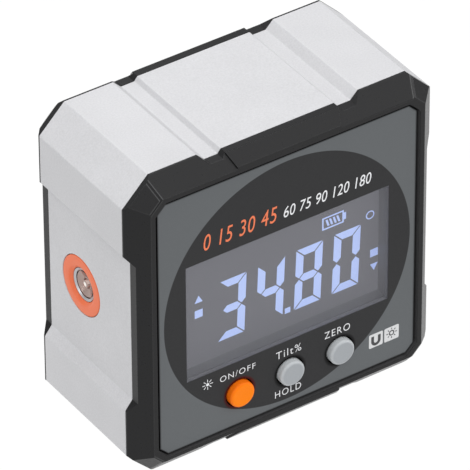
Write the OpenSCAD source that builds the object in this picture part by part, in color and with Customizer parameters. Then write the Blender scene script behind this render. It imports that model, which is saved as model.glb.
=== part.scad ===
// Digital angle gauge: a square aluminium frame that stands on its lower pads, closed by two plastic covers.
// Millimetres. The face looks along -Y, +Z is up, the origin is the middle of the bottom.

/* [Frame] */
// Width and height of the square aluminium frame
body_w = 60; // [60:0.5:66]
// Depth of the aluminium frame along its extrusion
body_d = 24.2; // [24.2:0.2:30]
// Chamfer on the four corners
corner_c = 5; // [4:0.25:5.5]
// Length of each measuring pad next to a corner
pad_len = 9.3; // [8.6:0.1:9.6]
// Depth of the two grooves on the top and on the bottom
groove_depth = 1.5; // [1:0.1:1.8]
// Drop of the middle land below the pads
land_drop = 0.7; // [0.4:0.1:0.9]
// Width of the middle land on the top and on the bottom
land_w = 22; // [20:0.5:23]
// Depth of the wide recess on the left and on the right
side_recess = 1.4; // [1:0.1:1.6]
// Thickness of the frame from the pads to its inside
wall = 4.5; // [4.4:0.1:4.6]

/* [Covers] */
// Depth of the bezel in front of the frame
front_d = 3.5; // [3.4:0.1:4]
// Depth of the rear cover behind the frame
rear_d = 3.5; // [3.3:0.1:4]
// Straight edge of both covers before their sides slope at 45 degrees
edge_d = 0.25; // [0.15:0.05:0.4]
// Width of the thin rim around the face panel
rim_w = 0.9; // [0.7:0.1:1.1]
// Chamfer on the corners of the rim
rim_c = 2.1; // [1.6:0.1:2.6]
// How much further in the lower slopes of the covers end
lower_set = 0.3; // [0.2:0.1:0.4]
// How far the middle tabs stand out of the slopes, measured straight out of the face
tab_raise = 0.5; // [0.3:0.1:0.7]
// How much narrower each side of a middle tab is at the rim
tab_taper = 1.6; // [1:0.1:2.5]
// Thickness of the floor of both covers
floor_t = 1.5; // [1.4:0.1:1.8]
// How far the covers reach into the frame
spigot_d = 3; // [2:0.5:4]
// Thickness of the part of the covers that reaches into the frame
spigot_t = 1.4; // [1.2:0.1:1.6]

/* [Face] */
// Thickness of the face panel
panel_t = 0.8; // [0.6:0.1:0.9]
// How far the face panel lies below the rim
panel_sink = 0.4; // [0.3:0.1:0.6]
// Gap between the face panel and the rim
panel_gap = 0.5; // [0.3:0.1:0.7]
// Width of the display window
window_w = 39.8; // [38:0.2:40]
// Height of the display window
window_h = 23.1; // [22:0.1:23.4]
// How far the middle of the window lies below the middle of the body
window_drop = 0.7; // [0.5:0.1:1]
// How far the liquid crystal cell lies behind the face panel
lcd_depth = 3.3; // [3.2:0.1:4]

/* [Buttons] */
// Diameter of the three caps
button_d = 4.8; // [4.6:0.1:5.4]
// Spacing of the caps
button_pitch = 10; // [9.4:0.1:10.1]
// How far the row of caps lies right of the middle
button_shift = 0.35; // [0:0.05:0.4]
// How far the caps lie below the middle of the body
button_drop = 18.9; // [18.4:0.1:19]
// How far the caps stand out of the face panel
button_proud = 1.1; // [0.9:0.1:1.4]
// Travel of the caps
button_travel = 0.5; // [0.3:0.1:0.6]
// Rounding of the edge of the caps
button_round = 0.5; // [0.3:0.1:0.7]

/* [Side magnets] */
// Diameter of the orange collar in each side
collar_d = 10.9; // [9:0.1:12]
// Depth of the collar in the frame
collar_t = 2.2; // [1.8:0.1:2.4]
// Diameter of the magnet in each collar
magnet_d = 6; // [5:0.1:7]
// How far the magnet lies below the collar
magnet_sink = 0.5; // [0.3:0.1:0.8]
// Distance of the magnets from the front edge of the frame
magnet_back = 14.8; // [12:0.2:16]

/* [Inside] */
// Clearance between pieces that are put together
fit = 0.1; // [0.05:0.01:0.12]
// Clearance around the caps
button_clear = 0.3; // [0.2:0.05:0.35]
// Thickness of the circuit board
board_t = 1.6; // [1:0.2:2]
// Diameter of the case screws
case_screw_d = 2.5; // [2:0.1:3]
// Distance of the case screws from the inside of the frame, both ways
case_screw_in = 4.5; // [4.1:0.1:4.5]

/* [Hidden] */
$fn = 64;
over = 1;
mid = body_w / 2;
cavity = mid - wall;
cavity_c = 3;
pad_end = mid - corner_c - pad_len;
pad_run = 1.5;
land_run = 0.65;
side_run = 1.8;
// Planes from front to rear, as distances along Y
button_over = button_proud - panel_sink;
depth_all = button_over + front_d + body_d + rear_d;
front_y = -depth_all / 2 + button_over + front_d;
rear_y = front_y + body_d;
panel_y = front_y - front_d + panel_sink;
seat_y = panel_y + panel_t;
floor_y = seat_y + floor_t;
lcd_y = panel_y + lcd_depth;
lcd_t = 2;
light_t = 2.4;
board_y = lcd_y + lcd_t + light_t + fit;
board_back = board_y + board_t;
// Rim and panel
slope_at = mid + edge_d;
rim_out = mid - (front_d - edge_d);
rim_in = rim_out - rim_w;
panel_half = rim_in - panel_gap;
corner_slope_at = (2 * rim_out - rim_c) / sqrt(2) + front_d;
rear_rim = mid - (rear_d - edge_d);
rear_corner_slope_at = (2 * rear_rim - rim_c) / sqrt(2) + rear_d;
// Lens and the well behind it
lens_lip = 1.5;
lens_w = window_w + 2 * lens_lip;
lens_h = window_h + 2 * lens_lip;
lens_flange_t = 0.45;
lens_back = seat_y + lens_flange_t;
well_grow = 0.8;
well_shoulder = 0.2;
cell_w = 42;
cell_low = -window_drop - window_h / 2 - 0.7;
cell_h = 27;
cell_ledge = 2.4;
frame_wall = 0.7;
// Buttons and switches
button_r = button_d / 2;
button_hole = button_r + button_clear;
button_xs = [button_shift - button_pitch, button_shift, button_shift + button_pitch];
flange_r = button_hole + 0.5;
flange_t = 0.8;
stem_r = 1.6;
switch_w = 6;
switch_h = 3.1;
switch_bore = stem_r + button_clear;
stem_in = 0.5;
switch_bore_d = stem_in + button_travel + 0.6;
// Board
board_edge = 1;
board_wide = [cell_w + 2 * board_edge, 31.5];
board_tall = [35, 48];
board_wide_up = 0.75;
board_screw_x = 15.3;
board_screw_low = -button_drop - 2.4;
board_screw_high = 21;
board_screw_d = 1.8;
board_screw_l = 5;
boss_r = 2;
chip_w = 7;
chip_t = 1.4;
chip_at = [-4, 6];
sensor_w = 3;
sensor_t = 1;
sensor_at = [9, -4];
// Battery bay in the rear cover
aaa_d = 10.5;
aaa_l = 44.5;
aaa_nub_d = 3.8;
aaa_nub_l = 0.8;
contact_t = 0.4;
spring_l = 3.1;
wire_r = 0.4;
spring_turns = 5;
bay_w = aaa_l + spring_l + 2 * contact_t;
bay_gap = 0.5;
bay_h = 2 * aaa_d + 2 * bay_gap;
bay_wall = 1;
bay_spare = 0.4;
door_t = 1.4;
door_lip = [0.6, 1.1];
door_tab = [9, 5.4];
door_screw_up = bay_h / 2 + 3.9;
door_screw_d = 2;
cover_floor = 2;
cover_in = rear_d - cover_floor;
bay_floor = cover_in - bay_spare - aaa_d;
aaa_up = aaa_d / 2 + bay_gap / 2;
aaa_y = rear_y + bay_floor + aaa_d / 2;
hook_w = 5;
hook_x = 14;
hook_reach = 1;
// Case screws
case_screw_at = cavity - case_screw_in;
post_r = 3;
post_l = 14;
screw_head_h = 1.4;
screw_bite = 8;

// Puts a flat drawing upright at depth y: drawing x and y become X and Z, and its height
// grows towards the face
module facing(y) {
    translate([0, y, mid]) rotate([90, 0, 0]) children();
}

// The same for the rear: the height grows away from the face
module behind(y) {
    translate([0, y, mid]) rotate([90, 0, 180]) children();
}

// Puts children, drawn along their own Z, on both sides of the frame, pointing out of it from distance x
module both_sides(x) {
    for (side = [-1, 1])
        translate([side * x, front_y + magnet_back, mid]) rotate([0, side * 90, 0]) children();
}

module at_corners(x, low, high) {
    for (sx = [-1, 1], up = [low, high]) translate([sx * x, up, 0]) children();
}

module octagon(half, c) {
    polygon([[half, half - c], [half - c, half], [c - half, half], [-half, half - c],
        [-half, c - half], [c - half, -half], [half - c, -half], [half, c - half]]);
}

// A shape that is the same on the left and on the right, from the points of its right half
module mirrored_polygon(right) {
    polygon(concat(right, [for (i = [len(right) - 1:-1:0]) [-right[i].x, right[i].y]]));
}

// What is cut from the top: the two grooves and the lowered land between them
module top_relief() {
    translate([0, mid])
        mirrored_polygon([[land_w / 2, -land_drop], [land_w / 2 + land_run, -groove_depth],
            [pad_end - pad_run, -groove_depth], [pad_end, 0], [pad_end, over]]);
}

// What is cut from a side: one wide recess with sloped ends
module side_relief() {
    translate([0, mid])
        mirrored_polygon([[pad_end - side_run, -side_recess], [pad_end, 0], [pad_end, over]]);
}

// Outline of the extrusion, which both covers follow
module frame_outline() {
    difference() {
        octagon(mid, corner_c);
        for (turn = [0, 180]) rotate(turn) top_relief();
        for (turn = [-90, 90]) rotate(turn) side_relief();
    }
}

// Everything beyond a slope that faces +X and starts at a distance from the middle. It leans at 45
// degrees, or as much flatter as it ends further in
module slope_cut(at, d, set = 0) {
    lean = 1 + set / d;
    foot = at + lean * over;
    rotate([90, 0, 0])
        linear_extrude(2 * body_w, center = true)
            polygon([[at - lean * (d + over), d + over], [foot, -over], [foot, d + over]]);
}

// The part of a top slope that the middle tab covers
module tab_zone(d) {
    half = land_w / 2 + land_run;
    translate([0, body_w, 0])
        rotate([90, 0, 0])
            linear_extrude(body_w - cavity)
                mirrored_polygon([[half, 0], [half - tab_taper, d]]);
}

// Solid cover: the frame's outline, mitred all round, with a raised tab on the top and the bottom
module cover_solid(d, corner_at) {
    difference() {
        linear_extrude(d) frame_outline();
        for (turn = [0:90:270]) rotate(turn) slope_cut(slope_at, d, turn == 270 ? lower_set : 0);
        for (turn = [45:90:315]) rotate(turn) slope_cut(corner_at, d);
    }
    for (turn = [0, 180]) rotate(turn)
        intersection() {
            difference() {
                linear_extrude(d) frame_outline();
                rotate(90) slope_cut(slope_at + tab_raise, d, turn == 180 ? lower_set : 0);
            }
            tab_zone(d);
        }
}

// The wall with which a cover reaches into the frame, below the drawing plane
module spigot() {
    translate([0, 0, -spigot_d])
        linear_extrude(spigot_d + fit)
            difference() {
                octagon(cavity - fit, cavity_c);
                octagon(cavity - fit - spigot_t, cavity_c);
            }
}

module window_shape(grow) {
    translate([0, -window_drop]) square([window_w + grow, window_h + grow], center = true);
}

module lens_shape(grow) {
    translate([0, -window_drop]) square([lens_w + grow, lens_h + grow], center = true);
}

module button_holes() {
    for (x = button_xs) translate([x, -button_drop]) circle(button_hole);
}

module cell_pocket(grow) {
    translate([-cell_w / 2 - grow, cell_low - grow]) square([cell_w + 2 * grow, cell_h + 2 * grow]);
}

module body_frame() {
    color("#cfd0d3") difference() {
        facing(rear_y) linear_extrude(body_d) frame_outline();
        facing(rear_y + over) linear_extrude(body_d + 2 * over) octagon(cavity, cavity_c);
        both_sides(mid - side_recess - collar_t) cylinder(r = collar_d / 2 + fit, h = collar_t + over);
    }
}

module front_bezel() {
    hollow = front_y - floor_y;
    color("#36383b") difference() {
        union() {
            facing(front_y) {
                cover_solid(front_d, corner_slope_at);
                spigot();
            }
            facing(front_y + post_l)
                at_corners(case_screw_at, -case_screw_at, case_screw_at)
                    cylinder(r = post_r, h = post_l);
            facing(board_y)
                at_corners(board_screw_x, board_screw_low, board_screw_high)
                    cylinder(r = boss_r, h = board_y - front_y);
        }
        // hollow behind the floor, with the posts and the bosses left standing
        facing(front_y + fit)
            linear_extrude(hollow + fit)
                difference() {
                    octagon(cavity - fit - spigot_t, cavity_c);
                    at_corners(case_screw_at, -case_screw_at, case_screw_at) circle(post_r);
                    at_corners(board_screw_x, board_screw_low, board_screw_high) circle(boss_r);
                }
        // room for the frame of the display
        facing(board_y) linear_extrude(board_y - floor_y) cell_pocket(frame_wall + 3 * fit);
        // seat of the face panel
        facing(seat_y) linear_extrude(panel_t + panel_sink + over) octagon(rim_in, rim_c);
        // openings of the window and the caps
        facing(front_y) linear_extrude(front_d) {
            lens_shape(2 * fit);
            button_holes();
        }
        facing(front_y + post_l + over)
            at_corners(case_screw_at, -case_screw_at, case_screw_at)
                cylinder(d = case_screw_d + fit, h = screw_bite + 2 * over);
        facing(board_y + over)
            at_corners(board_screw_x, board_screw_low, board_screw_high)
                cylinder(d = board_screw_d + fit, h = board_screw_l + over);
    }
}

module bay_shape(grow) {
    square([bay_w + 2 * grow, bay_h + 2 * grow], center = true);
}

// Outline of the battery door, with a tab above it for the screw
module door_shape(grow) {
    square([bay_w + 2 * (door_lip.x + grow), bay_h + 2 * (door_lip.y + grow)], center = true);
    translate([-door_tab.x / 2 - grow, 0])
        square([door_tab.x + 2 * grow, bay_h / 2 + door_lip.y + door_tab.y + grow]);
}

module rear_cover() {
    boss_d = rear_y - front_y - post_l - fit;
    door_boss_l = 5;
    door_boss_r = 2.6;
    color("#36383b") behind(rear_y) difference() {
        union() {
            difference() {
                union() {
                    cover_solid(rear_d, rear_corner_slope_at);
                    spigot();
                }
                translate([0, 0, -over])
                    linear_extrude(cover_in + over) octagon(cavity - fit - spigot_t, cavity_c);
            }
            at_corners(case_screw_at, -case_screw_at, case_screw_at)
                translate([0, 0, -boss_d]) cylinder(r = post_r, h = boss_d + cover_in + fit);
            translate([0, 0, bay_floor - bay_wall])
                linear_extrude(cover_in - bay_floor + bay_wall + fit) bay_shape(bay_wall);
            translate([0, door_screw_up, cover_in - door_boss_l])
                cylinder(r = door_boss_r, h = door_boss_l + fit);
        }
        translate([0, 0, bay_floor]) linear_extrude(rear_d - bay_floor + over) bay_shape(0);
        translate([0, 0, rear_d - door_t]) linear_extrude(door_t + over) door_shape(fit);
        // notches for the hooks of the door
        for (x = [-hook_x, hook_x])
            translate([x, -bay_h / 2, cover_in - hook_reach / 2])
                cube([hook_w + 4 * fit, 2 * hook_reach + 2 * fit, hook_reach + 2 * fit], center = true);
        translate([0, door_screw_up, cover_in - door_boss_l + over])
            cylinder(d = door_screw_d + fit, h = door_boss_l + rear_d);
        at_corners(case_screw_at, -case_screw_at, case_screw_at) {
            translate([0, 0, -boss_d - over])
                cylinder(d = case_screw_d + 4 * fit, h = boss_d + rear_d + 2 * over);
            translate([0, 0, rear_d - screw_head_h - 2 * fit])
                cylinder(d = 2 * case_screw_d + 4 * fit, h = screw_head_h + over);
        }
    }
}

module face_panel() {
    color("#666b6e") facing(seat_y)
        linear_extrude(panel_t)
            difference() {
                octagon(panel_half, rim_c - panel_gap);
                window_shape(2 * fit);
                button_holes();
            }
}

module display_window() {
    color("#85868c") {
        facing(seat_y) linear_extrude(panel_t - fit / 2) window_shape(0);
        facing(lens_back) linear_extrude(lens_flange_t) lens_shape(0);
    }
}

module lcd_frame() {
    shoulder_y = floor_y + well_shoulder;
    color("#9b9ca2") difference() {
        union() {
            facing(board_y)
                linear_extrude(board_y - shoulder_y) cell_pocket(frame_wall + fit);
            facing(shoulder_y + fit) linear_extrude(shoulder_y - lens_back + fit) lens_shape(0);
        }
        facing(board_y + over) linear_extrude(board_y - lcd_y + over) cell_pocket(fit);
        facing(board_y) linear_extrude(board_y - lens_back + over) window_shape(well_grow);
    }
}

module lcd_glass() {
    color("#8d9098") {
        facing(lcd_y + lcd_t / 2) linear_extrude(lcd_t / 2) cell_pocket(0);
        facing(lcd_y + lcd_t)
            linear_extrude(lcd_t / 2)
                translate([-cell_w / 2, cell_low]) square([cell_w, cell_h - cell_ledge]);
    }
}

module backlight() {
    color("#e6ecf2") facing(lcd_y + lcd_t + light_t)
        linear_extrude(light_t)
            translate([-cell_w / 2, cell_low]) square([cell_w, cell_h - cell_ledge - fit]);
}

module zebra_strip() {
    strip_h = cell_ledge - 4 * fit;
    strip_w = cell_w - 4;
    color("#d8a9a0") facing(board_y)
        linear_extrude(board_y - lcd_y - lcd_t / 2)
            translate([-strip_w / 2, cell_low + cell_h - strip_h]) square([strip_w, strip_h]);
}

module main_board() {
    color("#1f6b3f") facing(board_back)
        linear_extrude(board_t)
            difference() {
                union() {
                    translate([0, board_wide_up]) square(board_wide, center = true);
                    square(board_tall, center = true);
                }
                at_corners(board_screw_x, board_screw_low, board_screw_high)
                    circle(d = board_screw_d + 4 * fit);
            }
}

module controller_chip() {
    color("#222427") facing(board_back + chip_t)
        linear_extrude(chip_t) translate(chip_at) square(chip_w, center = true);
}

module tilt_sensor() {
    color("#2b2d31") facing(board_back + sensor_t)
        linear_extrude(sensor_t) translate(sensor_at) square(sensor_w, center = true);
}

module switch_bodies() {
    color("#3a3c40") for (x = button_xs)
        facing(board_y) translate([x, -button_drop, 0]) difference() {
            translate([-switch_w / 2, -switch_w / 2, 0]) cube([switch_w, switch_w, switch_h]);
            translate([0, 0, switch_h - switch_bore_d]) cylinder(r = switch_bore, h = switch_bore_d + over);
        }
}

// Screw along its own Z with the underside of its head at 0 and the shank below
module screw(d, head_d, head_h, length) {
    cylinder(d = head_d, h = head_h);
    translate([0, 0, -length]) cylinder(d = d, h = length + fit);
}

module board_screws() {
    color("#b9bcc0") behind(board_back)
        at_corners(board_screw_x, board_screw_low, board_screw_high)
            screw(board_screw_d, 2 * board_screw_d, 1.2, board_t + board_screw_l - over);
}

// Round cap with a rounded edge, a flange behind the bezel and a stem that reaches into its switch
module push_cap(x) {
    top = floor_y + button_clear - panel_y + button_proud;
    stem_end = board_y - switch_h + stem_in;
    flange_back = floor_y + button_clear + flange_t;
    translate([x, 0, -button_drop]) {
        facing(floor_y + button_clear)
            rotate_extrude() {
                square([button_r - button_round, top]);
                square([button_r, top - button_round]);
                translate([button_r - button_round, top - button_round])
                    intersection() {
                        circle(button_round);
                        square(button_round);
                    }
            }
        facing(flange_back) cylinder(r = flange_r, h = flange_t);
        facing(stem_end) cylinder(r = stem_r, h = stem_end - flange_back + fit);
    }
}

module power_button() {
    color("#f57c1f") push_cap(button_xs[0]);
}

module hold_button() {
    color("#a9adb1") push_cap(button_xs[1]);
}

module zero_button() {
    color("#a9adb1") push_cap(button_xs[2]);
}

module magnet_collars() {
    lead_in = 0.5;
    color("#ef7a50") both_sides(mid - side_recess - collar_t) difference() {
        cylinder(d = collar_d, h = collar_t);
        translate([0, 0, -over]) cylinder(r = magnet_d / 2 + fit, h = collar_t + 2 * over);
        translate([0, 0, collar_t - lead_in])
            cylinder(r1 = magnet_d / 2 + fit, r2 = magnet_d / 2 + fit + lead_in, h = lead_in + fit / 10);
    }
}

module side_magnets() {
    tall = collar_t - magnet_sink;
    dish_r = magnet_d / 2 - 0.9;
    dish_d = 0.9;
    color("#bdb9b2") both_sides(mid - side_recess - collar_t) difference() {
        cylinder(d = magnet_d, h = tall);
        translate([0, 0, tall - dish_d]) cylinder(r1 = dish_r / 2, r2 = dish_r, h = dish_d + fit / 10);
    }
}

// Places children along the cells: the two cells lie opposite ways, each drawn with its flat end towards -X
module in_bay() {
    for (way = [-1, 1])
        translate([0, aaa_y, mid + way * aaa_up]) rotate([0, way * 90, 0]) children();
}

module battery_cells() {
    start = -bay_w / 2 + contact_t + spring_l;
    color("#4a4d52") in_bay() translate([0, 0, start]) {
        cylinder(d = aaa_d, h = aaa_l - aaa_nub_l);
        cylinder(d = aaa_nub_d, h = aaa_l);
    }
}

module contact_plate() {
    size = aaa_d - 1.5;
    translate([-size / 2, -size / 2, 0]) cube([size, size, contact_t]);
}

module contact_springs() {
    sunk = wire_r - fit;
    pitch = (spring_l - wire_r - sunk) / (spring_turns - 1);
    big_r = 3.2;
    small_r = 2.2;
    color("#c8c6bd") in_bay() translate([0, 0, -bay_w / 2]) {
        contact_plate();
        for (i = [0:spring_turns - 1])
            translate([0, 0, contact_t + sunk + i * pitch])
                rotate_extrude()
                    translate([big_r - (big_r - small_r) * i / (spring_turns - 1), 0])
                        circle(wire_r, $fn = 24);
    }
}

module contact_plates() {
    color("#c8c6bd") in_bay() translate([0, 0, bay_w / 2 - contact_t]) contact_plate();
}

module battery_door() {
    leg = 1;
    color("#303234") behind(rear_y) difference() {
        union() {
            translate([0, 0, rear_d - door_t]) linear_extrude(door_t) door_shape(-fit);
            for (x = [-hook_x, hook_x]) translate([x, -bay_h / 2 + fit, 0]) {
                translate([-hook_w / 2, 0, cover_in - hook_reach])
                    cube([hook_w, leg, door_t + hook_reach]);
                translate([-hook_w / 2, -hook_reach, cover_in - hook_reach])
                    cube([hook_w, hook_reach + leg, hook_reach - fit]);
            }
        }
        translate([0, door_screw_up, 0]) cylinder(d = door_screw_d + 4 * fit, h = rear_d + over);
        translate([0, door_screw_up, rear_d - door_t / 2 - fit])
            cylinder(d = 2 * door_screw_d + 4 * fit, h = door_t);
    }
}

module door_screw() {
    head_h = door_t / 2;
    length = 4;
    color("#b9bcc0") behind(rear_y)
        translate([0, door_screw_up, rear_d - door_t / 2 - fit])
            screw(door_screw_d, 2 * door_screw_d, head_h, length);
}

module case_screws() {
    under_head = rear_d - screw_head_h - 2 * fit;
    length = under_head + rear_y - front_y - post_l + screw_bite;
    color("#b9bcc0") behind(rear_y)
        at_corners(case_screw_at, -case_screw_at, case_screw_at)
            translate([0, 0, under_head]) screw(case_screw_d, 2 * case_screw_d, screw_head_h, length);
}

body_frame();
front_bezel();
rear_cover();
face_panel();
display_window();
lcd_frame();
lcd_glass();
backlight();
zebra_strip();
main_board();
controller_chip();
tilt_sensor();
switch_bodies();
board_screws();
power_button();
hold_button();
zero_button();
magnet_collars();
side_magnets();
battery_cells();
contact_springs();
contact_plates();
battery_door();
door_screw();
case_screws();
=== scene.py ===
# %% [markdown]
# A digital angle gauge stands on a white table. Its solids come from CAD and are already the right
# size, so this lesson only dresses them: edges get bevels, surfaces get finishes, and the face gets
# its print and its lit numbers. Everything is in metres and in the frame of the CAD model.

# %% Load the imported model
import math
import bmesh
import bpy
from mathutils import Matrix, Vector


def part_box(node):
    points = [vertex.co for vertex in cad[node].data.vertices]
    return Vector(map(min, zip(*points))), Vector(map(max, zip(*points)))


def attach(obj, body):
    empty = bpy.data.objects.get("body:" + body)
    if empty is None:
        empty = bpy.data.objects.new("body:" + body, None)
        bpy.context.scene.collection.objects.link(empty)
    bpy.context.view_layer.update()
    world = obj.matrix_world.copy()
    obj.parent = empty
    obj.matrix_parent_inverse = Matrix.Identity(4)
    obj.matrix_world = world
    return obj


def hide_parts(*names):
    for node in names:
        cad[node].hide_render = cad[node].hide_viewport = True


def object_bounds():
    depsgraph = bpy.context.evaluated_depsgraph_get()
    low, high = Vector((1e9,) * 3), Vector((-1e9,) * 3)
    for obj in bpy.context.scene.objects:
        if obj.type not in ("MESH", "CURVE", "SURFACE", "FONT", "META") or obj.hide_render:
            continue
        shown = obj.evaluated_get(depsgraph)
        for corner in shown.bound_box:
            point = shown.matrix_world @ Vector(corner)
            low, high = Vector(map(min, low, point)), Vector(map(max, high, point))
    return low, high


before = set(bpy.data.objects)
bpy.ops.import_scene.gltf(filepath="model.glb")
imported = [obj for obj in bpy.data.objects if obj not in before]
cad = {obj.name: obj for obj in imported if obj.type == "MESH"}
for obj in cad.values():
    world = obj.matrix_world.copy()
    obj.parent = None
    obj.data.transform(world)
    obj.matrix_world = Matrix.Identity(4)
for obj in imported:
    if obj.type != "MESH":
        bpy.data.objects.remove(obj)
cad_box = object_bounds()
scene = bpy.context.scene
MM = 0.001
print("CAD box in mm:", [[round(v / MM, 2) for v in corner] for corner in cad_box])

# %% [markdown]
# A few planes are read from the solids instead of being typed again: the front of the rim, of the
# face panel and of the liquid crystal cell, and the outer face of the rear cover.

# %% Planes of the face and the rear
rim_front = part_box("front_bezel")[0].y / MM
panel_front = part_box("face_panel")[0].y / MM
cell_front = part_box("lcd_glass")[0].y / MM
rear_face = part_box("rear_cover")[1].y / MM
middle_z = (cad_box[0].z + cad_box[1].z) / 2 / MM
print(f"panel at {panel_front:.2f}, cell at {cell_front:.2f}, rear at {rear_face:.2f} mm")

# %% [markdown]
# The photograph was taken from the left of the face and from above, with a very long lens. Azimuth,
# elevation and a small roll give the camera's own axes, which are written as a matrix. A constraint
# could aim the camera too, but it would have no roll.

# %% Camera
CAMERA_AZIMUTH, CAMERA_ELEVATION, CAMERA_ROLL = (math.radians(a) for a in (33.997, 36.854, -0.289))
CAMERA_TARGET = Vector((-8.317, -11.75, 40.865)) * MM
CAMERA_DISTANCE = 1016.03 * MM
SENSOR_WIDTH = 36
FOCAL_PIXELS, IMAGE_PIXELS = 6287.55, 470
NEAREST, FARTHEST = 0.05, 20


def put_in_scene(name, data):
    """Makes an object of some data and links it to the scene."""
    made = bpy.data.objects.new(name, data)
    scene.collection.objects.link(made)
    return made


to_camera = Vector((-math.sin(CAMERA_AZIMUTH) * math.cos(CAMERA_ELEVATION),
                    -math.cos(CAMERA_AZIMUTH) * math.cos(CAMERA_ELEVATION),
                    math.sin(CAMERA_ELEVATION)))
level_right = Vector((0, 0, 1)).cross(to_camera).normalized()
level_up = to_camera.cross(level_right)
camera_right = level_right * math.cos(CAMERA_ROLL) + level_up * math.sin(CAMERA_ROLL)
camera_up = level_up * math.cos(CAMERA_ROLL) - level_right * math.sin(CAMERA_ROLL)

lens = bpy.data.cameras.new("long_lens")
lens.sensor_width = SENSOR_WIDTH
lens.lens = FOCAL_PIXELS / IMAGE_PIXELS * SENSOR_WIDTH
lens.clip_start, lens.clip_end = NEAREST, FARTHEST
camera_place = Matrix((camera_right, camera_up, to_camera)).transposed().to_4x4()
camera_place.translation = CAMERA_TARGET + to_camera * CAMERA_DISTANCE
camera = put_in_scene("camera", lens)
camera.matrix_world = camera_place
scene.camera = camera
print(f"camera with a {lens.lens:.0f} mm lens at", [round(v, 3) for v in camera_place.translation])

# %% [markdown]
# Shaders count light in linear values, while colours are picked as sRGB hex values. Typing linear
# numbers would work, but they can't be read as colours, so one function turns hex values to linear.
# Another adds a node with its settings and links, which keeps every material short.

# %% Colours, nodes and the empty material
def linear(hex_colour):
    """Turns an sRGB hex colour into the linear values that shaders use."""
    parts = [int(hex_colour[i:i + 2], 16) / 255 for i in (1, 3, 5)]
    return (*[c / 12.92 if c <= 0.04045 else ((c + 0.055) / 1.055) ** 2.4 for c in parts], 1.0)


def add(tree, kind, inputs=None, **settings):
    """Adds a node. An input gets a value, or a link to an output or to a node's first active one."""
    made = tree.nodes.new(kind)
    for name, value in settings.items():
        setattr(made, name, value)
    for name, value in (inputs or {}).items():
        if isinstance(value, bpy.types.Node):
            value = next(o for o in value.outputs if o.enabled)
        if isinstance(value, bpy.types.NodeSocket):
            tree.links.new(value, made.inputs[name])
        else:
            made.inputs[name].default_value = value
    return made


def empty_material(name):
    made = bpy.data.materials.new(name)
    made.use_nodes = True
    made.node_tree.nodes.clear()
    return made, made.node_tree


scene.view_settings.view_transform = "Standard"
print("white in linear values:", linear("#ffffff"))

# %% [markdown]
# The background is a light table: opal acrylic lit from below, so it stays white right up to the
# object and no shadow shows on it. Lamps on a white floor could give a similar picture, but a table
# that glows by itself is white at any setting of the lamps. A dimmer surrounding fills the rest.

# %% White surrounding and table
SURROUND_LIGHT = 0.40
TABLE_GLOW = 1.0
TABLE_SIZE = 0.8

world = bpy.data.worlds.new("white_studio")
world.use_nodes = True
world.node_tree.nodes.clear()
sky = add(world.node_tree, "ShaderNodeBackground",
          {"Color": linear("#fdfdff"), "Strength": SURROUND_LIGHT})
add(world.node_tree, "ShaderNodeOutputWorld", {"Surface": sky})
scene.world = world

table_finish, tree = empty_material("opal_acrylic_table")
table_shader = add(tree, "ShaderNodeBsdfPrincipled",
                   {"Base Color": linear("#202020"), "Roughness": 0.9, "Specular IOR Level": 0.0,
                    "Emission Color": linear("#ffffff"), "Emission Strength": TABLE_GLOW})
add(tree, "ShaderNodeOutputMaterial", {"Surface": table_shader})
half = TABLE_SIZE / 2
table_corners = [(-half, -half, 0), (half, -half, 0), (half, half, 0), (-half, half, 0)]
table_mesh = bpy.data.meshes.new("table")
table_mesh.from_pydata(table_corners, [], [(0, 1, 2, 3)])
table_mesh.materials.append(table_finish)
table = put_in_scene("table", table_mesh)
print("table of", TABLE_SIZE, "m under a surrounding of", SURROUND_LIGHT)

# %% [markdown]
# A studio lights such a gauge with soft boxes. A wide panel hangs above and another behind. Two in
# front, left and right, draw soft highlights on the black slopes, a small one at the side picks out
# the mitres, and a low one lights the left side. Area lights have such soft edges, and point lamps
# have not. The camera doesn't see them.

# %% Light panels
AIM = Vector((0, 0, 0.03))


def light_panel(name, place, size, watts):
    """A square panel that looks at the gauge; its place and size are in metres."""
    data = bpy.data.lights.new(name, "AREA")
    data.shape, data.size, data.energy = "SQUARE", size, watts
    made = put_in_scene(name, data)
    made.location = place
    made.rotation_euler = (AIM - Vector(place)).to_track_quat("-Z", "Y").to_euler()
    made.visible_camera = False


light_panel("panel_above", (-0.10, -0.10, 1.2), 1.6, 9.95)
light_panel("panel_behind", (-0.10, 0.95, 0.75), 1.4, 9.0)
light_panel("panel_left", (-0.58, -0.8, 0.58), 0.8, 2.6)
light_panel("panel_right", (0.55, -0.75, 0.85), 0.8, 3.5)
light_panel("panel_side", (1.0, -0.53, 0.42), 0.4, 2.35)
light_panel("panel_low", (-1.1, 0.28, 0.08), 0.3, 1.15)

# %% [markdown]
# Most finishes here are a base colour that varies a little, a roughness that varies with it and a
# fine bump. One recipe makes all of those from real sizes in millimetres. A grain finer than about
# a quarter of a millimetre would vanish in the picture, so it is drawn that coarse.

# %% Grained finishes
FINEST_GRAIN, BROAD_PATCH, BROAD_SHARE = 0.25, 9, 0.3
ROUGHNESS_SPREAD = 0.06
BUMP_STRENGTH = 0.4


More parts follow.
